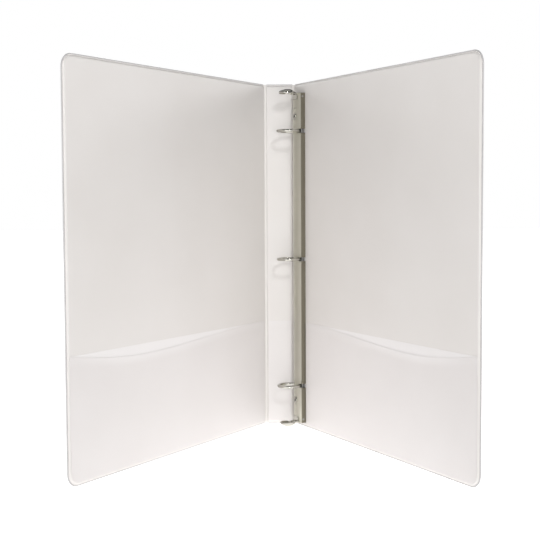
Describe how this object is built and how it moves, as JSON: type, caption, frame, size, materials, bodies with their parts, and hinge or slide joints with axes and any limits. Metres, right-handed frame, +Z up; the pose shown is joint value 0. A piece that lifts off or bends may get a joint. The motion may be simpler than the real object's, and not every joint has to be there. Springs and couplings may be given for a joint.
{
  "type": "ring binder",
  "caption": "View binder standing open: two stiff covers and a spine in white vinyl on living hinges, round rings on a metal mechanism beside the back cover's hinge, opened by end levers.",
  "frame": {"origin": "under the middle of the spine panel, on the surface the binder stands on", "axes": "+Z up along the spine, +Y out behind the spine, the covers open towards -Y, the back cover with the rings on the +X side"},
  "size_m": [0.2775, 0.2335, 0.2921],
  "materials": {
    "vinyl": "satin",
    "pocket_vinyl": "satin",
    "clear_film": "gloss",
    "board": "matte",
    "nickel_plate": "polished",
    "nickel_wire": "polished",
    "nickel_lever": "polished",
    "nickel_rivet": "polished",
    "plated_steel": "satin"
  },
  "bodies": {
    "spine": {"spine_board": "board", "spine_outer_skin": "vinyl", "spine_inner_skin": "vinyl", "spine_overlay": "clear_film", "spine_pocket": "pocket_vinyl", "front_hinge_strip": "vinyl", "back_hinge_strip": "vinyl"},
    "front_cover": {"front_board": "board", "front_outer_skin": "vinyl", "front_inner_skin": "vinyl", "front_overlay": "clear_film", "front_pocket": "pocket_vinyl"},
    "back_cover": {"back_board": "board", "back_outer_skin": "vinyl", "back_inner_skin": "vinyl", "back_overlay": "clear_film", "back_pocket": "pocket_vinyl", "ring_housing": "nickel_plate", "top_lever_pin": "plated_steel", "bottom_lever_pin": "plated_steel", "top_rivet": "nickel_rivet", "bottom_rivet": "nickel_rivet", "top_rivet_cap": "nickel_rivet", "bottom_rivet_cap": "nickel_rivet"},
    "spine_side_rings": {"spine_side_plate": "plated_steel", "ring_top_spine_side": "nickel_wire", "ring_middle_spine_side": "nickel_wire", "ring_bottom_spine_side": "nickel_wire"},
    "cover_side_rings": {"cover_side_plate": "plated_steel", "ring_top_cover_side": "nickel_wire", "ring_middle_cover_side": "nickel_wire", "ring_bottom_cover_side": "nickel_wire"},
    "top_lever": {"top_lever": "nickel_lever"},
    "bottom_lever": {"bottom_lever": "nickel_lever"}
  },
  "joints": [
    {"name": "front_cover_hinge", "type": "hinge", "parent": "spine", "child": "front_cover", "pos_m": [-0.0132, 0, 0.146], "axis": [0, 0, -1], "range_deg": [-30.6, 149.4], "deforming": ["front_hinge_strip"]},
    {"name": "back_cover_hinge", "type": "hinge", "parent": "spine", "child": "back_cover", "pos_m": [0.0132, 0, 0.146], "axis": [0, 0, 1], "range_deg": [-27, 153], "deforming": ["back_hinge_strip"]},
    {"name": "rings_open", "type": "hinge", "parent": "back_cover", "child": "spine_side_rings", "pos_m": [0.01295, -0.0081, 0.1436], "axis": [0, 0, -1], "range_deg": [0, 9]},
    {"name": "cover_side_rings_turn", "type": "hinge", "parent": "back_cover", "child": "cover_side_rings", "pos_m": [0.01867, -0.01932, 0.1436], "axis": [0, 0, 1], "range_deg": [0, 9]},
    {"name": "top_lever_turn", "type": "hinge", "parent": "back_cover", "child": "top_lever", "pos_m": [0.01581, -0.01371, 0.2803], "axis": [-0.454, 0.891, 0], "range_deg": [0, 18.67]},
    {"name": "bottom_lever_turn", "type": "hinge", "parent": "back_cover", "child": "bottom_lever", "pos_m": [0.01581, -0.01371, 0.0069], "axis": [0.454, -0.891, 0], "range_deg": [0, 18.67]}
  ],
  "couplings": [
    {"joint": "cover_side_rings_turn", "follows": "rings_open", "ratio": 1},
    {"joint": "top_lever_turn", "follows": "rings_open", "ratio": 2.0739},
    {"joint": "bottom_lever_turn", "follows": "rings_open", "ratio": 2.0739}
  ]
}
